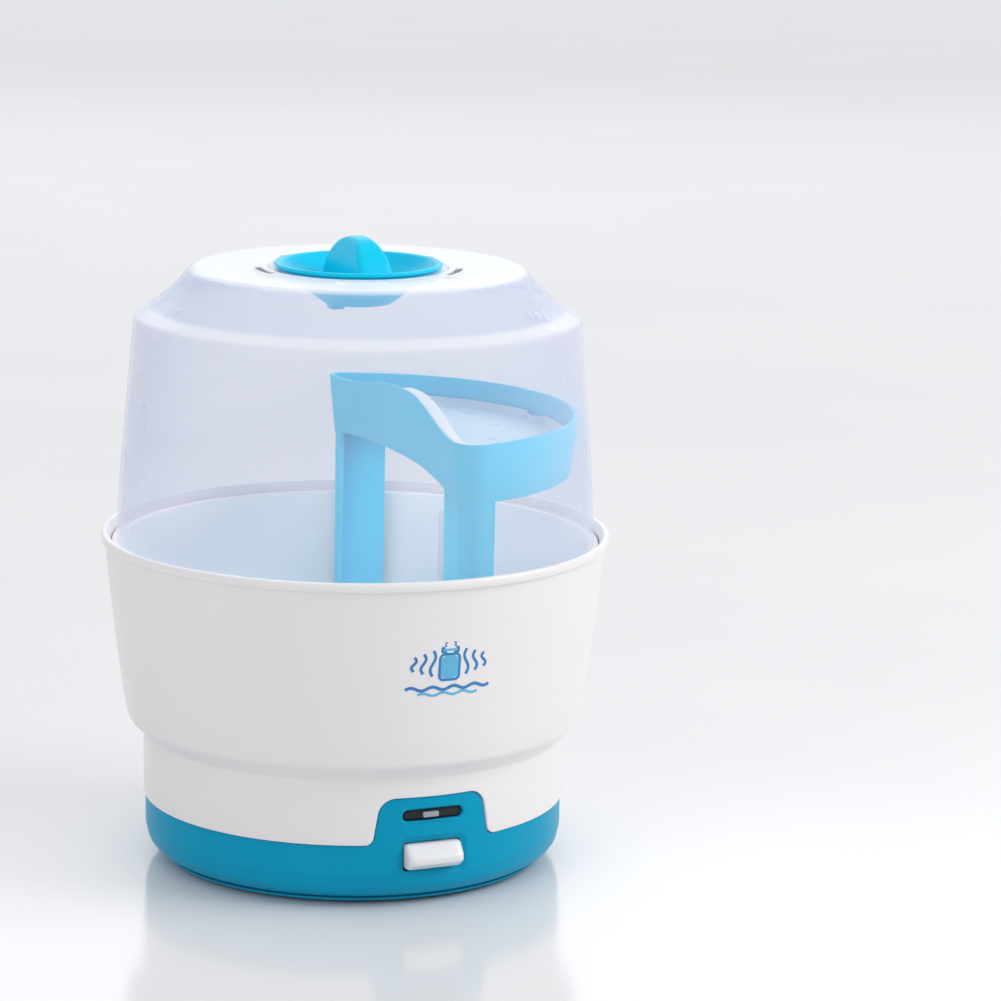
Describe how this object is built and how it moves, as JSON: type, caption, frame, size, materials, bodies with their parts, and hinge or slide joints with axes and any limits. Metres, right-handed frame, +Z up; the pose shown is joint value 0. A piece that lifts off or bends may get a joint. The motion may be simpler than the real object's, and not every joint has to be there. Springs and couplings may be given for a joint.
{
  "type": "bottle sterilizer",
  "caption": "Round electric steam sterilizer with a frosted lift-off lid, finned lid knob, lift-out bottle rack with handle frame, and a press-down lever.",
  "frame": {"origin": "centre of the box's base, on the surface that the rubber feet stand on", "axes": "+Z up along the turned axis, -Y towards the control panel with the lever, +X to the right when facing the panel"},
  "size_m": [0.28, 0.28, 0.346],
  "materials": {
    "casing": "satin white moulded plastic",
    "trim": "satin blue moulded plastic",
    "tub": "satin white moulded plastic",
    "lid": "frosted translucent plastic",
    "knob": "satin bright blue plastic",
    "rack": "satin blue plastic",
    "grip_cap": "white plastic",
    "tray": "pale translucent plastic",
    "lever": "white plastic",
    "rubber": "matt black rubber",
    "silicone": "pale silicone",
    "steel": "brushed stainless steel",
    "aluminium": "dull aluminium sheath",
    "brass": "bare brass",
    "ceramic": "unglazed ceramic",
    "switch_black": "black moulded plastic",
    "lens": "smoked clear plastic",
    "neon": "orange neon lamp glass",
    "wire_brown": "brown insulated wire",
    "wire_blue": "blue insulated wire"
  },
  "bodies": {
    "base": {"base_housing": "casing", "trim_ring": "trim", "bottom_cover": "trim", "foot_1": "rubber", "foot_2": "rubber", "foot_3": "rubber", "foot_4": "rubber", "cover_screw_1": "steel", "cover_screw_2": "steel", "cover_screw_3": "steel", "cover_screw_4": "steel", "inner_tub": "tub", "heating_plate": "steel", "plate_gasket": "silicone", "plate_clamp": "steel", "clamp_screw_1": "steel", "clamp_screw_2": "steel", "clamp_screw_3": "steel", "heater_element": "aluminium", "heater_terminal_left": "brass", "heater_terminal_right": "brass", "thermostat": "ceramic", "thermostat_bracket": "steel", "thermal_fuse": "ceramic", "switch_body": "switch_black", "lever_pin": "steel", "lever_spring": "steel", "switch_tab_left": "brass", "switch_tab_right": "brass", "indicator_lens": "lens", "lamp_holder": "casing", "indicator_lamp": "neon", "cord_bushing": "rubber", "terminal_block": "ceramic", "wire_switch_feed": "wire_brown", "wire_lamp_feed": "wire_blue", "wire_heater_feed": "wire_brown"},
    "lever": {"switch_lever": "lever"},
    "rack": {"bottle_rack": "rack", "bottle_cup_1": "rack", "bottle_cup_2": "rack", "bottle_cup_3": "rack", "bottle_cup_4": "rack", "bottle_cup_5": "rack", "bottle_cup_6": "rack", "rack_frame": "rack", "grip_inlay": "grip_cap"},
    "tray": {"accessory_tray": "tray"},
    "lid": {"lid_shell": "lid", "lid_knob": "knob", "knob_retainer": "knob"}
  },
  "joints": [
    {"name": "lever_press", "type": "hinge", "parent": "base", "child": "lever", "pos_m": [0, -0.107, 0.0325], "axis": [1, 0, 0], "range_deg": [0, 7], "stiffness_Nm_per_rad": 0.06, "springref_deg": -17.19},
    {"name": "rack_lift", "type": "slide", "parent": "base", "child": "rack", "axis": [0, 0, 1], "range_m": [0, 0.12]},
    {"name": "tray_lift", "type": "slide", "parent": "rack", "child": "tray", "axis": [0, 0, 1], "range_m": [0, 0.04]},
    {"name": "lid_lift", "type": "slide", "parent": "tray", "child": "lid", "axis": [0, 0, 1], "range_m": [0, 0.2]}
  ]
}
